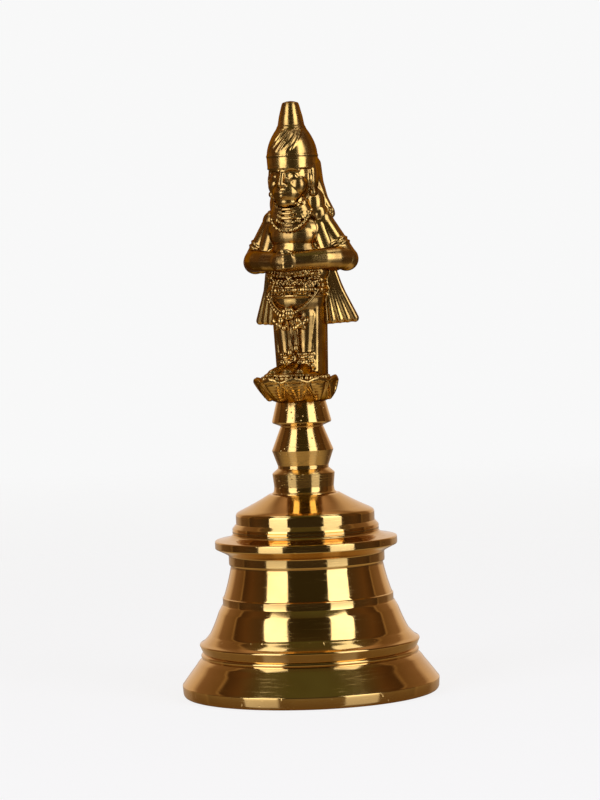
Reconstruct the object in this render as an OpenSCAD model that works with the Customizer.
// Brass puja bell: a turned bell under a cast figure, with a clapper hung inside on a ring.
// Frame: origin at the centre of the mouth, +Z up the bell's axis, the figure faces -Y. Millimetres.

/* [Bell] */
// Diameter of the mouth across the lip
mouth_d = 72; // [71:0.5:74]
// Height of the lip's edge above the mouth
lip_h = 3.2; // [2.8:0.1:3.6]
// Diameter across the lower bead
bead_d = 60.8; // [60:0.2:61.6]
// Diameter of the waist, just under the flange
waist_d = 42.6; // [42:0.2:43.4]
// Diameter across the flange
flange_d = 51; // [49:0.2:54]
// Diameter of the shoulder under the dome
shoulder_d = 38.8; // [38:0.2:39.6]
// Height of the seat that the collar stands on
seat_h = 55.9; // [55.5:0.1:56.3]
// Thickness of the lip, level with its edge
lip_wall = 5; // [4.6:0.1:5.2]

/* [Collar and neck] */
// Diameter of the collar at its top edge
collar_d = 17.4; // [16.6:0.1:18]
// Height of the collar above its seat
collar_h = 7; // [6.6:0.1:7.6]
// Diameter of the neck at its sharp edge
neck_d = 17.2; // [16.4:0.1:18]
// Height of the neck
neck_h = 18.7; // [18.3:0.1:19.5]

/* [Figure] */
// Height of the figure with its lotus, from the neck to the tip of the crown
figure_h = 83.6; // [81:0.4:87]
// Distance across the elbows
elbow_span = 34.2; // [33:0.4:36]

/* [Clapper] */
// Diameter of the stud that ties the handle to the bell
stud_d = 5; // [4.4:0.2:5.4]
// Diameter of the clapper's ball
ball_d = 13; // [12:0.5:14]
// Height of the ball's centre above the mouth when it hangs still
ball_z = 10.5; // [10:0.5:12]
// Thickness of the ring that the clapper hangs on
ring_wire = 1.6; // [1.2:0.1:1.6]
// Diameter of the ring to the middle of its wire
ring_d = 7.2; // [7.2:0.1:7.6]

/* [Hidden] */

lip_r = mouth_d / 2;
bead_r = bead_d / 2;
waist_r = waist_d / 2;
flange_r = flange_d / 2;
shoulder_r = shoulder_d / 2;
collar_r = collar_d / 2;
neck_r = neck_d / 2;
stud_r = stud_d / 2;
ball_r = ball_d / 2;
bore_slack = 0.1;           // radial room around the stud and the rod
hang_slack = 0.1;           // room between two links that hang on each other

lip_foot = 1.4;             // how far the lip's foot draws in under its edge
bead_z = 11.4;              // middle of the lower bead
bead_tube = 0.7;            // radius of its rounding
step_z = 14.4;              // middle of the sharper step over it
band_z = 23.8;              // edge of the lower taper
flange_z = 42.2;            // middle of the flange's upright edge
flange_edge = 0.5;          // how far its two corners are rounded
drum_r = 20.5;              // radius of the drum above the flange
drum_top = 46.9;            // height where the drum ends
crown_under = 52.4;         // height of the flat under the crown that the washer bears on

collar_z = seat_h;
neck_z = collar_z + collar_h;
figure_z = neck_z + neck_h;
waist_taper_r = 5.95;       // the neck's thinnest radius
stud_top = figure_z + 5;    // how far the stud reaches into the figure

washer_h = 1;
nut_h = 4;
nut_flats = 8;
washer_z = crown_under - washer_h;
nut_z = washer_z - nut_h;
eye_wire = 2.2;             // thickness of the stud's eye
eye_r = 2.75;               // radius of the eye to the middle of its wire
eye_z = nut_z - 1.2 - eye_r - eye_wire / 2;
rod_eye_wire = 2;           // thickness of the clapper's own eye
rod_eye_r = 2.6;
rod_r = 1.25;
ring_r = ring_d / 2;
ring_top = eye_z - eye_r + eye_wire / 2 + ring_wire / 2 + hang_slack;
ring_z = ring_top - ring_r;
rod_eye_top = ring_z - ring_r + ring_wire / 2 + rod_eye_wire / 2 + hang_slack;
rod_eye_z = rod_eye_top - rod_eye_r;
hang_turn = 45;             // the eyes stand across the figure's front at this angle
button_h = 0.9;             // peened end of the rod under the ball
button_r = 2.2;

// Levels of the figure, as shares of the height above the lotus's foot
function level(share) = figure_z + figure_h * share;
lotus_top = level(0.082);
ankle = level(0.14);
knee = level(0.235);
hem = level(0.253);
hip = level(0.352);
waist = level(0.406);
elbow = level(0.475);
hand = level(0.476);
shoulder = level(0.61);
chin = level(0.655);
mouth = level(0.7);
brow = level(0.8);
crown_rim = level(0.815);
crown_top = level(0.908);
tip = level(1);
elbow_r = 3.4;
elbow_x = elbow_span / 2 - elbow_r;

brass = [0.78, 0.57, 0.2];
dark_brass = [0.6, 0.43, 0.16];
steel = [0.55, 0.55, 0.57];

// Points along an arc, from one angle to another about a centre
function arc(centre, r, from, to, steps = 8) =
    [for (i = [0:steps]) let (a = from + (to - from) * i / steps) centre + r * [cos(a), sin(a)]];
// Points along a curve that leaves a towards b and arrives at c
function bend(a, b, c, steps = 8) =
    [for (i = [0:steps]) let (t = i / steps) (1 - t) * (1 - t) * a + 2 * t * (1 - t) * b + t * t * c];

function lip_points() = concat(
    [[lip_r - lip_foot, 0]],
    bend([lip_r - lip_foot + 0.4, 0.05], [lip_r - 0.35, 0.2], [lip_r - 0.15, 1], 5),
    [[lip_r, lip_h - 0.4]],
    arc([lip_r - 0.5, lip_h], 0.5, 0, 40, 3),
    bend([lip_r - 0.4, lip_h + 0.7], [lip_r - 1.6, 5.6], [lip_r - 4, 8.6], 5),
    [[bead_r + 0.35, 10.3], [bead_r - 0.1, bead_z - bead_tube]]);
function bead_points() = concat(
    arc([bead_r + 0.1 - bead_tube, bead_z], bead_tube, -50, 50, 6),
    [[bead_r - 0.5, bead_z + 0.7], [bead_r - 0.4, bead_z + 1], [bead_r + 0.3, step_z - 0.3]],
    arc([bead_r - 0.1, step_z], 0.5, -20, 60, 5),
    [[bead_r - 0.5, 15.1], [28.2, 17]]);
function wall_points() = concat(
    bend([27.9, 17.2], [26.5, 19.8], [25.2, band_z - 0.4], 6),
    [[25, band_z], [24.2, band_z + 1.4], [23.9, band_z + 1.8], [23.9, band_z + 3.7],
     [23.6, band_z + 3.9], [23.5, band_z + 4.2]],
    bend([23.4, band_z + 4.4], [22.1, 32], [waist_r, 36.2], 6));
function flange_points() = concat(
    [[waist_r + 0.3, 36.5], [waist_r + 0.5, 37], [waist_r + 0.5, 39.2], [waist_r + 0.8, 39.5],
     [flange_r - 2.4, 40]],
    arc([flange_r - flange_edge, flange_z - 0.7], flange_edge, -65, 0, 4),
    arc([flange_r - flange_edge, flange_z + 0.8], flange_edge, 0, 82, 4),
    [[flange_r - 3, 43.9], [drum_r + 0.6, 44.4], [drum_r + 0.1, 44.8], [drum_r, 45.1],
     [drum_r - 0.15, 45.3], [drum_r, 45.5], [drum_r, 46], [drum_r - 0.15, 46.2], [drum_r - 0.05, 46.4],
     [drum_r - 0.2, drum_top]]);
function dome_points() = concat(
    [[shoulder_r + 0.2, drum_top + 0.8], [shoulder_r, drum_top + 1.2]],
    arc([shoulder_r - 1.2, 50.1], 1.2, 0, 58, 6),
    bend([shoulder_r - 1.5, 51.6], [13.8, 53.5], [9.8, seat_h], 7),
    [[stud_r + bore_slack, seat_h]]);
function inside_points() = concat(
    [[stud_r + bore_slack, crown_under], [7, crown_under]],
    bend([7.6, crown_under - 0.2], [15.8, 50.8], [17.2, 45.2], 8),
    bend([17.8, 42], [20, 31], [22.1, 24], 6),
    bend([22.7, 21.8], [24.8, 14], [28, 9.6], 6),
    [[lip_r - lip_wall - 0.4, 5], [lip_r - lip_wall, lip_h], [lip_r - lip_wall, 1]],
    arc([lip_r - lip_wall + 0.4, 0.4], 0.4, 180, 270, 3));

module bell_body() {
    color(brass)
    rotate_extrude($fn = 180)
    polygon(concat(lip_points(), bead_points(), wall_points(), flange_points(), dome_points(), inside_points()));
}

module neck_collar() {
    foot_r = 9;
    color(brass)
    rotate_extrude($fn = 120)
    polygon(concat([[stud_r + bore_slack, collar_z], [foot_r, collar_z], [foot_r, collar_z + 0.15]],
                   bend([foot_r - 0.1, collar_z + 0.3], [8.45, collar_z + 0.5], [8.4, collar_z + 1.5], 4),
                   [[collar_r - 0.35, collar_z + 2], [collar_r, collar_z + 5.5], [collar_r - 0.1, collar_z + 5.8],
                    [7.2, neck_z], [stud_r + bore_slack, neck_z]]));
}

module handle_neck() {
    edge_z = neck_z + 5.1;      // the sharp edge of the double cone
    waist_z = neck_z + 11.8;    // the thinnest place
    rim_z = neck_z + 13;        // the rim of the upper cone
    color(brass)
    rotate_extrude($fn = 120)
    polygon([[stud_r + bore_slack, neck_z], [7.1, neck_z], [7.1, neck_z + 0.9], [neck_r - 0.1, edge_z - 0.3],
             [neck_r, edge_z], [neck_r - 0.15, edge_z + 0.4], [waist_taper_r + 0.1, waist_z - 0.3],
             [waist_taper_r, waist_z], [neck_r - 0.5, rim_z - 0.2], [neck_r - 0.3, rim_z + 0.2],
             [neck_r - 0.4, rim_z + 0.6], [6.9, figure_z], [stud_r + bore_slack, figure_z]]);
}

// A limb or a lump of the casting between two points, each with its own radius
module limb(a, ra, b, rb, fn = 16) {
    hull() {
        translate(a) sphere(ra, $fn = fn);
        translate(b) sphere(rb, $fn = fn);
    }
}

module both_sides() {
    children();
    mirror([1, 0, 0]) children();
}

module egg(at, size, fn = 20) {
    translate(at) scale(size) sphere(1, $fn = fn);
}

module lotus() {
    petals = 14;
    forward = -3.3;         // the cup leans out towards the figure's toes
    hull() {
        translate([0, 0, figure_z]) cylinder(0.1, r = 6.9, $fn = 30);
        translate([0, forward / 3, level(0.018)]) scale([9.3, 9.7, 1]) cylinder(0.1, r = 1, $fn = 30);
        translate([0, forward * 0.7, level(0.04)]) scale([10.3, 11.4, 1]) cylinder(0.1, r = 1, $fn = 30);
        translate([0, forward, lotus_top - 1.4]) scale([10.4, 12, 1]) cylinder(1.4, r = 1, $fn = 30);
    }
    for (i = [0:petals - 1]) {
        a = 360 * (i + 0.5) / petals;
        hull() {
            translate([7.6 * cos(a), 7.6 * sin(a) + forward / 4, level(0.02)]) sphere(0.9, $fn = 8);
            translate([10.2 * cos(a), 11.8 * sin(a) + forward, level(0.06)]) sphere(1.3, $fn = 8);
            translate([10.9 * cos(a), 12.6 * sin(a) + forward, level(0.076)]) sphere(0.5, $fn = 8);
        }
    }
}

module legs_and_feet() {
    both_sides() {
        limb([3.3, -1, hem + 3], 3.2, [3, -1.2, knee], 2.6);
        limb([3, -1.2, knee], 2.6, [2.6, -1.6, ankle], 2);
        limb([2.9, -3, lotus_top + 1.6], 1.9, [4.4, -12.8, lotus_top + 0.8], 1.3, 12);
        for (z = [ankle - 1.5, ankle + 0.8])
            translate([2.6, -1.6, z]) rotate_extrude($fn = 16) translate([2.1, 0]) circle(0.7, $fn = 6);
    }
    // cloth that falls behind the legs to the lotus
    hull() {
        translate([-5, 2, lotus_top - 1]) cube([10, 6, 1]);
        translate([-5.6, 1, hip]) cube([11.2, 6.8, 1]);
    }
}

module skirt() {
    pleats = 5;
    both_sides()
        for (i = [0:pleats - 1]) {
            s = i / (pleats - 1);
            limb([5.6 + 4.5 * s, 3.4 + 1.4 * s, waist], 1.3,
                 [7 + 7.4 * s, 4.6 + 2.2 * s, hem + 1.2 + 0.5 * s], 1.5, 8);
        }
    egg([0, 0.4, hip], [8, 6.2, 6.6]);
    limb([-4.8, 0.4, waist - 1], 4.7, [4.8, 0.4, waist - 1], 4.7);
    // looped sash with its knot and ends
    both_sides() limb([7, -3, hip + 1.4], 1, [1, -6.2, hem + 2.4], 1.5, 8);
    limb([0, -5.6, hem + 3], 1.9, [0, -4.2, knee - 6], 0.8, 8);
    egg([0, 0, waist + 0.4], [8, 6, 1.4]);
}

module torso_and_arms() {
    hull() {
        egg([0, 0.4, shoulder - 2.4], [7.4, 4.8, 3.8]);
        egg([0, 0.2, waist + 2.4], [6.4, 4.8, 3.2]);
    }
    both_sides() {
        limb([8.7, 3.8, shoulder - 2.4], 2.8, [elbow_x, 3.4, elbow], elbow_r);
        limb([elbow_x, 3.4, elbow], elbow_r, [2.6, -7.2, hand], 2.7);
        limb([elbow_x - 1.8, 3.2, elbow + 3.6], 3.3, [elbow_x - 2.3, 3.2, elbow + 4.8], 3.3, 12);
    }
    limb([0, -7, hand - 0.8], 2.6, [0, -9.4, hand + 1], 1.7, 14);
    // necklaces
    for (n = [0:1])
        translate([0, -0.6, chin - 1.4 - 2.9 * n]) rotate([24, 0, 0])
        scale([1, 0.92, 1]) rotate_extrude($fn = 24) translate([5.6 + n, 0]) circle(0.85, $fn = 6);
}

module head() {
    head_r = 7;
    egg([0, 0, brow - 3.4], [head_r, head_r - 0.2, 9.2]);
    egg([0, -4.8, mouth], [4.9, 4.6, 4]);
    egg([0, -6, brow - 3.6], [1.4, 2.1, 2.8], 12);
    limb([0, 0.2, chin - 4], 5, [0, 0.2, chin + 3], 4.9);
    both_sides() {
        limb([6.9, 0.8, mouth + 5.8], 1.1, [7, 0.6, mouth + 1], 0.9, 8);
        // hair that falls behind the shoulder
        limb([4, 3.4, mouth + 4.8], 3, [7.8, 5.4, shoulder + 1], 2.6, 14);
    }
    hull() {
        egg([0, 2.8, brow - 3], [6, 4.6, 5.8], 16);
        egg([0, 4.6, shoulder + 1], [7.6, 3.2, 2.9], 16);
    }
}

module crown() {
    rim_r = 7.5;
    translate([0, 0, crown_rim]) rotate_extrude($fn = 32)
    polygon(concat([[0, -3], [rim_r - 1, -3], [rim_r - 0.2, -1.6], [rim_r, 0.2], [rim_r - 0.5, 0.6]],
                   bend([rim_r - 0.5, 1.2], [rim_r - 1.2, 5.2], [4.2, 7.6], 5),
                   [[4.1, crown_top - crown_rim], [3.8, crown_top - crown_rim + 2.4],
                    [2.7, tip - crown_rim - 1.4], [2.2, tip - crown_rim - 0.2], [1.8, tip - crown_rim],
                    [0, tip - crown_rim]]));
}

module figure_casting() {
    color(dark_brass)
    difference() {
        union() {
            lotus();
            legs_and_feet();
            skirt();
            torso_and_arms();
            head();
            crown();
        }
        translate([0, 0, figure_z - 1]) cylinder(stud_top - figure_z + 1.2, r = stud_r + 2 * bore_slack, $fn = 32);
    }
}

// A wire ring in the plane of one turn about Z, with its middle at a height
module wire_eye(z, r, wire, turn) {
    translate([0, 0, z]) rotate([0, 0, turn]) rotate([90, 0, 0])
    rotate_extrude($fn = 64) translate([r, 0]) circle(wire / 2, $fn = 32);
}

module eye_stud() {
    shank_z = eye_z + eye_r;
    color(steel) {
        translate([0, 0, nut_z - 0.8]) cylinder(stud_top - nut_z + 0.8, r = stud_r, $fn = 48);
        translate([0, 0, shank_z]) cylinder(nut_z - 0.8 - shank_z, r1 = eye_wire / 2, r2 = stud_r, $fn = 48);
        wire_eye(eye_z, eye_r, eye_wire, hang_turn);
    }
}

module crown_washer() {
    color(steel)
    difference() {
        translate([0, 0, washer_z]) cylinder(washer_h, r = 6, $fn = 64);
        translate([0, 0, washer_z - 1]) cylinder(washer_h + 2, r = stud_r + bore_slack, $fn = 48);
    }
}

module crown_nut() {
    color(steel)
    difference() {
        translate([0, 0, nut_z]) cylinder(nut_h, r = nut_flats / 2 / cos(30), $fn = 6);
        translate([0, 0, nut_z - 1]) cylinder(nut_h + 2, r = stud_r + bore_slack, $fn = 48);
    }
}

module hanger_ring() {
    color(steel) wire_eye(ring_z, ring_r, ring_wire, hang_turn + 90);
}

module clapper_rod() {
    rod_top = rod_eye_z - rod_eye_r;
    button_z = ball_z - sqrt(ball_r * ball_r - button_r * button_r) - button_h;
    color(steel) {
        wire_eye(rod_eye_z, rod_eye_r, rod_eye_wire, hang_turn);
        translate([0, 0, button_z + button_h / 2]) cylinder(rod_top - button_z - button_h / 2, r = rod_r, $fn = 40);
        translate([0, 0, button_z]) cylinder(button_h, r1 = button_r - 0.7, r2 = button_r, $fn = 40);
    }
}

module clapper_ball() {
    flat_z = sqrt(ball_r * ball_r - button_r * button_r);
    shank_r = 2.2;
    start = -acos(button_r / ball_r);
    end = acos(shank_r / ball_r);
    color(brass)
    translate([0, 0, ball_z]) rotate_extrude($fn = 96)
    polygon(concat([[rod_r + bore_slack, -flat_z]], arc([0, 0], ball_r, start, end, 24),
                   [[shank_r, ball_r + 1.2], [shank_r - 0.4, ball_r + 1.6], [rod_r + bore_slack, ball_r + 1.6]]));
}

bell_body();
neck_collar();
handle_neck();
figure_casting();
eye_stud();
crown_washer();
crown_nut();
hanger_ring();
clapper_rod();
clapper_ball();
